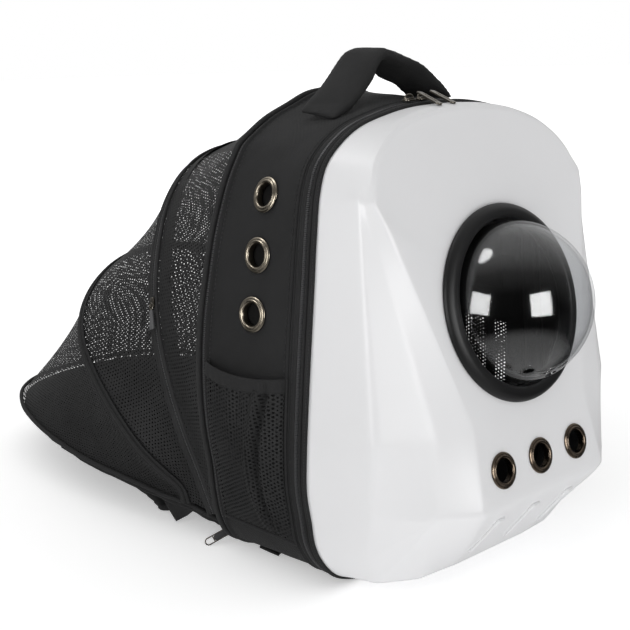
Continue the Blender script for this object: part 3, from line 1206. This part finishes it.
W1, N1 = frame_along(arch1, rear_arc, arch2)
tape_profile = [(-7.4, 0.2), (-7.2, 1.3), (-6.2, 1.9), (-5.2, 1.5), (-4.6, 0.8), (-3.0, 0.9), (-1.5, 0.9), (-1.1, 0.3), (-0.9, -0.4), (0.9, -0.4), (1.1, 0.3), (1.5, 0.9), (3.0, 0.9), (4.6, 0.8), (5.2, 1.5), (6.2, 1.9), (7.2, 1.3), (7.4, 0.2),
                (6.8, -0.9), (3.0, -1.1), (-3.0, -1.1), (-6.8, -0.9)]
G = np.array([arch1 + W1 * u + N1 * (h + 0.4) for u, h in tape_profile])
V = G.reshape(-1, 3)
n_t, m_t = G.shape[:2]
F = grid_faces(n_t, m_t, True, False)
F.append(tuple(i * m_t for i in range(n_t)))
F.append(tuple(i * m_t + m_t - 1 for i in range(n_t))[::-1])
outward(new_object("first_arch_tape", V, F, M_LIP, uv=arc_uv(G), node="hoop_1", slot="black_fabric"))
hoop_coil = Parts()
boxes_along(hoop_coil, arch1 + N1 * 0.0, N1, 1.7, (1.2, 2.0, 0.9))
hoop_coil.make("first_arch_zip_coil", M_COIL, slot="black_fabric", smooth=False)
W2, N2 = frame_along(arch2, arch1, panel_edge)
V, F = tube_along(arch2, 2.5, 12)
outward(new_object("second_arch_piping", V, F, M_HANDLE, node="hoop_2", slot="black_fabric"))
hems = Parts()
for u in (-4.6, 4.6):
    G = np.array([arch2 + W2 * (u + e) + N2 * h for e, h in ((-2.4, -0.2), (-2.0, 0.4), (0, 0.6), (2.0, 0.4), (2.4, 0.0), (2.0, -0.5), (0, -0.7), (-2.0, -0.6))])
    n_t, m_t = G.shape[:2]
    F = grid_faces(n_t, m_t, True, False)
    F.append(tuple(i * m_t for i in range(n_t)))
    F.append(tuple(i * m_t + m_t - 1 for i in range(n_t))[::-1])
    hems.add(G.reshape(-1, 3), F)
outward(hems.make("second_arch_hems", M_HEM, slot="black_fabric"))

# the wide hem of the first net, sewn inside along the first arch
G = np.array([arch1 + W1 * u + N1 * h for u, h in ((-7.0, -1.0), (-11, -1.3), (-16, -1.9), (-21, -2.6), (-24.5, -3.2), (-24.5, -3.9), (-21, -3.4), (-16, -2.7), (-11, -2.1), (-7.0, -1.8))])
n_t, m_t = G.shape[:2]
F = grid_faces(n_t, m_t, True, False)
F.append(tuple(i * m_t for i in range(n_t)))
F.append(tuple(i * m_t + m_t - 1 for i in range(n_t))[::-1])
outward(new_object("first_arch_hem", G.reshape(-1, 3), F, M_HEM, uv=arc_uv(G), slot="black_fabric"))

# piping round the panel's upper edge
edge_line = panel_level(PSIGN * 1.2, 0.6)
V, F = tube_along(edge_line, 2.1, 10, closed=True)
outward(new_object("panel_piping", V, F, M_STRAP, slot="black_fabric"))


# ---------------------------------------------------------------- side pockets
def pouch(u, v):
    return POCKET_OUT * 0.8 * max(0.0, math.sin(math.pi * u)) ** 0.35 * (1 - (1 - v) ** 4) * (1 - 0.2 * v)


def folds(u, v):
    """Valleys and ridges of the gathered net: a deep fold near the front and a slack one beside it."""
    c1 = 0.17 + 0.12 * math.sin(math.pi * min(1.0, (1 - v) * 0.9)) + 0.02 * (1 - v)
    c2 = 0.50 + 0.15 * (1 - v)
    k = math.sin(math.pi * min(1, u / 0.06) / 2) * math.sin(math.pi * min(1, (1 - u) / 0.06) / 2)
    h = -5.5 * math.exp(-((u - c1) / 0.035) ** 2) * min(1, v / 0.2)
    h += 3.2 * math.exp(-((u - c1 - 0.085) / 0.05) ** 2) * min(1, v / 0.15)
    h += 1.6 * math.exp(-((u - c1 + 0.075) / 0.04) ** 2)
    h += -2.2 * math.exp(-((u - c2) / 0.05) ** 2) * max(0, (v - 0.45) / 0.55)
    h += 1.4 * math.exp(-((u - c2 - 0.1) / 0.06) ** 2) * max(0, (v - 0.35) / 0.65)
    h += 0.5 * math.sin(u * 46 + 2.0 * v) * max(0.0, (v - 0.7) / 0.3)
    return h * k


def pocket_rows(s, z0, z1, ny, nz, fn):
    rows = []
    for j in range(nz + 1):
        v = j / nz
        z = z0 + (z1 - z0) * v
        row = []
        for i in range(ny + 1):
            u = i / ny
            y = POCKET_Y[0] + (POCKET_Y[1] - POCKET_Y[0]) * u
            dip = -4.5 * math.sin(math.pi * u) * min(1.0, max(0.0, (z - 90) / 86))
            p, n = wall_at(y, z + dip, s)
            row.append((p.x + s * (1.6 + max(0.2, fn(u, v))), y, z + dip))
        rows.append(row)
    return np.array(rows)


for s, side in ((-1, "l"), (1, "r")):
    G = pocket_rows(s, POCKET_Z[0], POCKET_Z[1] + 3, 60, 60, lambda u, v: pouch(u, v) + folds(u, v))
    net("pocket_netting_" + side, G, node="side_pocket_" + side, along=3.5, across=3.7, open_share=0.30)
    top = pocket_rows(s, POCKET_Z[1] - 0.5, POCKET_Z[1] + POCKET_BAND, 60, 8, lambda u, v: pouch(u, 1) + folds(u, 1) * 0.35 * (1 - v) + 0.3 * math.sin(u * 60) * (1 - v))
    # the band dips towards the front, as slack elastic does
    thick = 1.1
    n_b, m_b = top.shape[:2]
    o_top = top + np.array([s * thick, 0, 0])
    i_top = top - np.array([s * thick * 0.2, 0, 0])
    for k, e in ((0, 0.55), (-1, 0.55)):
        o_top[k] -= np.array([s * thick * e, 0, 0])
    V = np.vstack([o_top.reshape(-1, 3), i_top.reshape(-1, 3)])
    off = n_b * m_b
    F = grid_faces(n_b, m_b) + grid_faces(n_b, m_b, base=off, flip=True)
    border = [j for j in range(m_b)] + [i * m_b + m_b - 1 for i in range(1, n_b)] + [(n_b - 1) * m_b + j for j in range(m_b - 2, -1, -1)] + [i * m_b for i in range(n_b - 2, 0, -1)]
    for a_, b_ in zip(border, border[1:] + border[:1]):
        F.append((a_, a_ + off, b_ + off, b_))
    uvb = np.vstack([arc_uv(o_top), arc_uv(i_top)])
    eb = outward(new_object("pocket_elastic_" + side, V, F, M_ELASTIC, uv=uvb, node="pocket_band_" + side, slot="black_fabric"))
    # hem tapes down both sides and along the bottom of the pocket
    hem = Parts()
    for u0 in (0.0, 1.0):
        line = np.array([(wall_at(POCKET_Y[0] + (POCKET_Y[1] - POCKET_Y[0]) * u0, z, s)[0].x + s * 1.0, POCKET_Y[0] + (POCKET_Y[1] - POCKET_Y[0]) * u0, z) for z in np.linspace(POCKET_Z[0] - 3, POCKET_Z[1] + POCKET_BAND, 40)])
        V, F = tube_along(line, 1.5, 8)
        hem.add(V, F)
    line = np.array([(wall_at(y, POCKET_Z[0], s)[0].x + s * 1.0, y, POCKET_Z[0] - 1) for y in np.linspace(POCKET_Y[0], POCKET_Y[1], 30)])
    V, F = tube_along(line, 1.7, 8)
    hem.add(V, F)
    hem.make("pocket_hem_" + side, M_BAND, slot="black_fabric")


# ---------------------------------------------------------------- zip sliders and pulls
def placed(V, along, up_, at):
    """Local +Y along, local +Z up."""
    y = Vector(along).normalized()
    x = y.cross(Vector(up_)).normalized()
    z = x.cross(y).normalized()
    M = np.array([x, y, z]).T
    return np.asarray(V, float) @ M.T + np.array(at, float)


def slab(outline, thick, bevel=0.3, hole=None):
    """Plate from a 2-D outline with rounded edges, and an optional hole."""
    O = np.array(outline, float)
    rings = []
    c = O.mean(0)

    def inset(P, d):
        T = np.roll(P, -1, 0) - np.roll(P, 1, 0)
        T /= np.linalg.norm(T, axis=1)[:, None]
        N = np.column_stack([T[:, 1], -T[:, 0]])
        if ((P - P.mean(0)) * N).sum() < 0:
            N = -N
        return P - N * d
    h = thick / 2
    out = [(inset(O, bevel), -h), (inset(O, bevel * 0.3), -h + bevel * 0.3), (O, -h + bevel), (O, h - bevel), (inset(O, bevel * 0.3), h - bevel * 0.3), (inset(O, bevel), h)]
    if hole is None:
        V = np.vstack([np.column_stack([P, np.full(len(P), z)]) for P, z in out])
        m = len(O)
        F = grid_faces(len(out), m, False, True)
        F.append(tuple(range(m))[::-1])
        F.append(tuple(range(5 * m, 6 * m)))
        return V, F
    Hh = resample(np.vstack([np.array(hole, float), hole[:1]]), len(O))[:-1]
    k = np.argmin([np.linalg.norm(np.roll(Hh, -s_, 0) - O) for s_ in range(len(O))])
    Hh = np.roll(Hh, -k, 0)
    prof = out + [(Hh, h), (Hh, -h)]
    V = np.vstack([np.column_stack([P, np.full(len(P), z)]) for P, z in prof])
    return V, grid_faces(len(prof), len(O), True, True)


def round_rect(w, l, r, n=6, y0=0.0):
    pts = []
    for cx, cy, a0 in ((w / 2 - r, y0 + l - r, 0), (-w / 2 + r, y0 + l - r, 90), (-w / 2 + r, y0 + r, 180), (w / 2 - r, y0 + r, 270)):
        for k in range(n + 1):
            a = math.radians(a0 + 90 * k / n)
            pts.append((cx + r * math.cos(a), cy + r * math.sin(a)))
    return resample(np.array(pts + pts[:1]), 48)[:-1]


for i, x in ((1, -20), (2, -4)):
    body = Parts()
    at = (x, 13.4, 403.6)
    V, F = slab(round_rect(8.4, 12.0, 3.0, y0=-6.0), 1.5, 0.4)
    body.add(placed(V, (1, 0, 0), (0, 0, 1), at), F)
    V, F = slab(round_rect(5.0, 9.0, 1.6, y0=-4.5), 1.3, 0.3)
    body.add(placed(V, (1, 0, 0), (0, 0, 1), (at[0], at[1], at[2] + 1.2)), F)
    # the bail: a small bow over the slider that the pull hangs from
    bow = catmull([(at[0] - 5, at[1], at[2] + 0.6), (at[0] - 4, at[1], at[2] + 3.4), (at[0], at[1], at[2] + 4.6), (at[0] + 4, at[1], at[2] + 3.4), (at[0] + 5, at[1], at[2] + 0.6)], 6)
    V, F = tube_along(bow, 0.9, 8)
    body.add(V, F)
    outward(body.make(f"door_zip_slider_{i}", M_ZIP, node=f"zip_slider_{i}", slot="antique_nickel"))
    V, F = slab(round_rect(6.2, 35.0, 2.4), 1.7, 0.45, hole=round_rect(2.4, 20.0, 1.1, y0=10.5))
    o = new_object(f"door_zip_pull_{i}", placed(V, (-0.30 + 0.03 * i, -0.92, -0.235), (0.1, -0.2, 1), (x + 9.5, 11.0, 409.8)), F, M_ZIP, node=f"zip_pull_{i}", slot="antique_nickel")
    outward(o)

# puller of the first arch's zip: metal slider, ring and a rubber tag
j = int(round(7 / 26 * ARC_N)) - 4
p, t, nn = arch1[j], arch1[j + 4] - arch1[j - 4], N1[j]
t = -t / np.linalg.norm(t)
if t[2] > 0:
    t = -t
tag = Parts()
wedge = round_rect(6.8, 18.0, 1.2, y0=5.0)
wedge[:, 0] *= 0.62 + 0.38 * (wedge[:, 1] - 5.0) / 18.0
V, F = slab(wedge, 2.2, 0.45)
tag.add(placed(V, t, nn, p + nn * 3.6 + t * 1.0), F)
o = outward(tag.make("arch_zip_tag", M_TAG, slot="black_plastic", node="hoop_zip_pull"))
met = Parts()
V, F = slab(round_rect(6.2, 10.0, 2.0, y0=-6.5), 2.2, 0.5)
met.add(placed(V, t, nn, p + nn * 2.0), F)
a = np.linspace(0, 2 * math.pi, 22)
yv, zv = Vector(t), Vector(nn)
xv = yv.cross(zv).normalized()
ringp = np.array([np.array(p) + np.array(nn) * 3.4 + np.array(yv) * (2.6 + 3.4 * math.sin(q)) + np.array(xv) * 2.2 * math.cos(q) for q in a])
V, F = tube_along(ringp[:-1], 0.7, 8, closed=True)
met.add(V, F)
outward(met.make("arch_zip_slider", M_ZIP, slot="antique_nickel"))

# pull at the rear bottom corner: a thin steel frame filled with black, open at its end
PULL_AT, PULL_DIR, PULL_FACE = (-133, 138.5, 13.2), (-0.70, 0.50, -0.44), (-0.66, -0.71, 0.24)
edge_2d = round_rect(6.2, 25.0, 3.0)
V, F = tube_along(placed(np.column_stack([edge_2d, np.zeros(len(edge_2d))]), PULL_DIR, PULL_FACE, PULL_AT), 0.65, 8, closed=True)
bar = placed([(x_, 16.4, 0) for x_ in np.linspace(-2.8, 2.8, 6)], PULL_DIR, PULL_FACE, PULL_AT)
pull = Parts().add(V, F)
V, F = tube_along(bar, 0.6, 8)
pull.add(V, F)
outward(pull.make("corner_zip_pull", M_ZIP, slot="antique_nickel", node="bottom_zip_pull"))
V, F = slab(round_rect(5.6, 15.4, 2.4, y0=0.6), 1.9, 0.35)
outward(new_object("corner_pull_inlay", placed(V, PULL_DIR, PULL_FACE, PULL_AT), F, M_INSIDE, slot="black_plastic"))

# the folded corner of the left shoulder strap, just below the panel's edge
quad = [np.array(q, float) for q in ((-143.1, 225.8, 22.0), (-138.6, 212.8, 1.8), (-129.1, 207.2, 6.5), (-129.6, 191.2, 19.0))]
nq = np.cross(quad[1] - quad[0], quad[3] - quad[0])
nq /= np.linalg.norm(nq)
G = []
for side_k in (1.3, -1.3):
    for i in range(13):
        u = i / 12
        a_, b_ = quad[0] * (1 - u) + quad[3] * u, quad[1] * (1 - u) + quad[2] * u
        G.append([a_ * (1 - v) + b_ * v + nq * (side_k * (0.4 if i in (0, 12) or k in (0, 9) else 1.0) + 0.5 * math.sin(4 * u + 3 * v)) for k, v in ((k, k / 9) for k in range(10))])
G = np.array(G)
V = G.reshape(-1, 3)
V[:, 2] = np.maximum(V[:, 2], 0.2)
F = grid_faces(13, 10) + grid_faces(13, 10, base=130, flip=True)
border = list(range(10)) + [i * 10 + 9 for i in range(1, 13)] + [120 + k for k in range(8, -1, -1)] + [i * 10 for i in range(11, 0, -1)]
for a_, b_ in zip(border, border[1:] + border[:1]):
    F.append((a_, a_ + 130, b_ + 130, b_))
outward(new_object("strap_corner", V, F, M_STRAP, slot="black_fabric"))

# small end of webbing that shows under the gusset's corner
line = np.array([(-112, 100, 1.6), (-117, 99, 1.4), (-121, 97, 1.2)])
G = []
for q in resample(line, 10):
    G.append([q + np.array([0, dy, 0.0]) + np.array([0, 0, dz]) for dy, dz in ((-13, -0.9), (-13, 0.7), (0, 1.2), (13, 0.7), (13, -0.9), (0, -1.2))])
G = np.array(G)
V = np.vstack([G.reshape(-1, 3), G[0].mean(0), G[-1].mean(0)])
V[:, 2] = np.maximum(V[:, 2], 0.1)
F = grid_faces(11, 6, False, True)
for k in range(6):
    F.append((66, (k + 1) % 6, k))
    F.append((67, 60 + k, 60 + (k + 1) % 6))
outward(new_object("webbing_end", V, F, M_STRAP, slot="black_fabric"))

# ---------------------------------------------------------------- stage and light
fl = bpy.data.meshes.new("floor")
R_F, n_f = 9.0, 64
fl.from_pydata([(R_F * math.cos(2 * math.pi * k / n_f), R_F * math.sin(2 * math.pi * k / n_f), -0.0004) for k in range(n_f)], [], [tuple(range(n_f))])
floor = bpy.data.objects.new("floor", fl)
scene.collection.objects.link(floor)
mf = Mat("floor_white")
mf.set(Base_Color=(0.93, 0.93, 0.93, 1), Roughness=0.9, Specular_IOR_Level=0.1, Emission_Color=(1, 1, 1, 1))
far = mf.n("ShaderNodeVectorMath", operation="LENGTH")
mf.l(mf.coords("Object"), far.inputs[0])
glow = mf.n("ShaderNodeMapRange", interpolation_type="SMOOTHSTEP")
for k_, v_ in (("From Min", 0.35), ("From Max", 1.6), ("To Min", 0.39), ("To Max", 0.75)):
    glow.inputs[k_].default_value = v_
mf.l(far.outputs["Value"], glow.inputs["Value"])
mf.l(glow.outputs[0], mf.b.inputs["Emission Strength"])
fl.materials.append(mf.m)
floor.visible_glossy = False

w = bpy.data.worlds.new("studio")
scene.world = w
w.use_nodes = True
nt = w.node_tree
nt.nodes.clear()
wo = nt.nodes.new("ShaderNodeOutputWorld")
bg = nt.nodes.new("ShaderNodeBackground")
tc = nt.nodes.new("ShaderNodeTexCoord")


def sky(direction, stops):
    """Grey levels over the angle from a direction."""
    dot = nt.nodes.new("ShaderNodeVectorMath")
    dot.operation = "DOT_PRODUCT"
    dot.inputs[1].default_value = Vector(direction).normalized()
    nt.links.new(tc.outputs["Generated"], dot.inputs[0])
    mr = nt.nodes.new("ShaderNodeMapRange")
    mr.inputs["From Min"].default_value, mr.inputs["From Max"].default_value = -1, 1
    nt.links.new(dot.outputs["Value"], mr.inputs["Value"])
    rp = nt.nodes.new("ShaderNodeValToRGB")
    nt.links.new(mr.outputs[0], rp.inputs[0])
    e = rp.color_ramp.elements
    while len(e) < len(stops):
        e.new(0.5)
    for q, (p, g) in zip(e, stops):
        q.position, q.color = p, (g, g, g, 1)
    return rp.outputs[0]


def choose(fac, a, b):
    mx = nt.nodes.new("ShaderNodeMix")
    mx.data_type = "RGBA"
    nt.links.new(fac, mx.inputs["Factor"])
    for i, v in ((6, a), (7, b)):
        if isinstance(v, tuple):
            mx.inputs[i].default_value = v
        else:
            nt.links.new(v, mx.inputs[i])
    return mx.outputs[2]


paths = nt.nodes.new("ShaderNodeLightPath")
soft = sky((-0.25, 0.15, 1.0), [(0.0, 0.2), (0.5, 0.23), (0.72, 0.5), (1.0, 0.82)])
seen = sky((0.42, 0.42, 0.80), [(0.40, 0.02), (0.66, 0.22), (0.92, 0.95)])
below = sky((-0.1, -0.25, -1.0), [(0.0, 0.0), (0.80, 0.0), (0.88, 0.6), (1.0, 0.8)])
both = nt.nodes.new("ShaderNodeMix")
both.data_type, both.blend_type = "RGBA", "ADD"
both.inputs["Factor"].default_value = 1.0
nt.links.new(seen, both.inputs[6])
nt.links.new(below, both.inputs[7])
col = choose(paths.outputs["Is Glossy Ray"], soft, both.outputs[2])
col = choose(paths.outputs["Is Camera Ray"], col, (1.0, 1.0, 1.0, 1))
nt.links.new(col, bg.inputs[0])
bg.inputs[1].default_value = 1.0
nt.links.new(bg.outputs[0], wo.inputs[0])


def softbox(name, direction, distance, size, power, glossy=True, diffuse=True, target=(0, -0.03, 0.22), shape="SQUARE", size_y=None):
    ld = bpy.data.lights.new(name, "AREA")
    ld.shape, ld.size, ld.energy = shape, size, power
    if size_y:
        ld.shape, ld.size_y = "RECTANGLE", size_y
    o = bpy.data.objects.new(name, ld)
    scene.collection.objects.link(o)
    d = Vector(direction).normalized()
    o.location = Vector(target) + d * distance
    o.rotation_mode = "QUATERNION"
    o.rotation_quaternion = d.to_track_quat("Z", "Y")
    o.visible_glossy, o.visible_diffuse = glossy, diffuse
    o.visible_camera = False
    return o


softbox("key_left", (-0.85, -0.25, 0.75), 2.4, 1.2, 4, glossy=False)
softbox("key_front", (-0.50, -0.84, 0.20), 2.6, 1.0, 6, glossy=False)
softbox("overhead", (-0.2, 0.1, 1.0), 2.6, 2.2, 6, glossy=False)
low = softbox("low_front", (0.10, -0.98, -0.33), 0.62, 0.5, 0.3, glossy=False, target=(0.0, -0.16, 0.24), size_y=0.22)
# what the dome mirrors: two square boxes and a round one
softbox("mirror_left", (-0.985, 0.03, 0.13), 2.6, 1.25, 42, diffuse=False)
softbox("mirror_right", (-0.16, -0.975, 0.13), 2.6, 1.3, 52, diffuse=False)
softbox("mirror_round", (-0.307, 0.36, 0.881), 2.4, 0.88, 15, diffuse=False, shape="DISK")
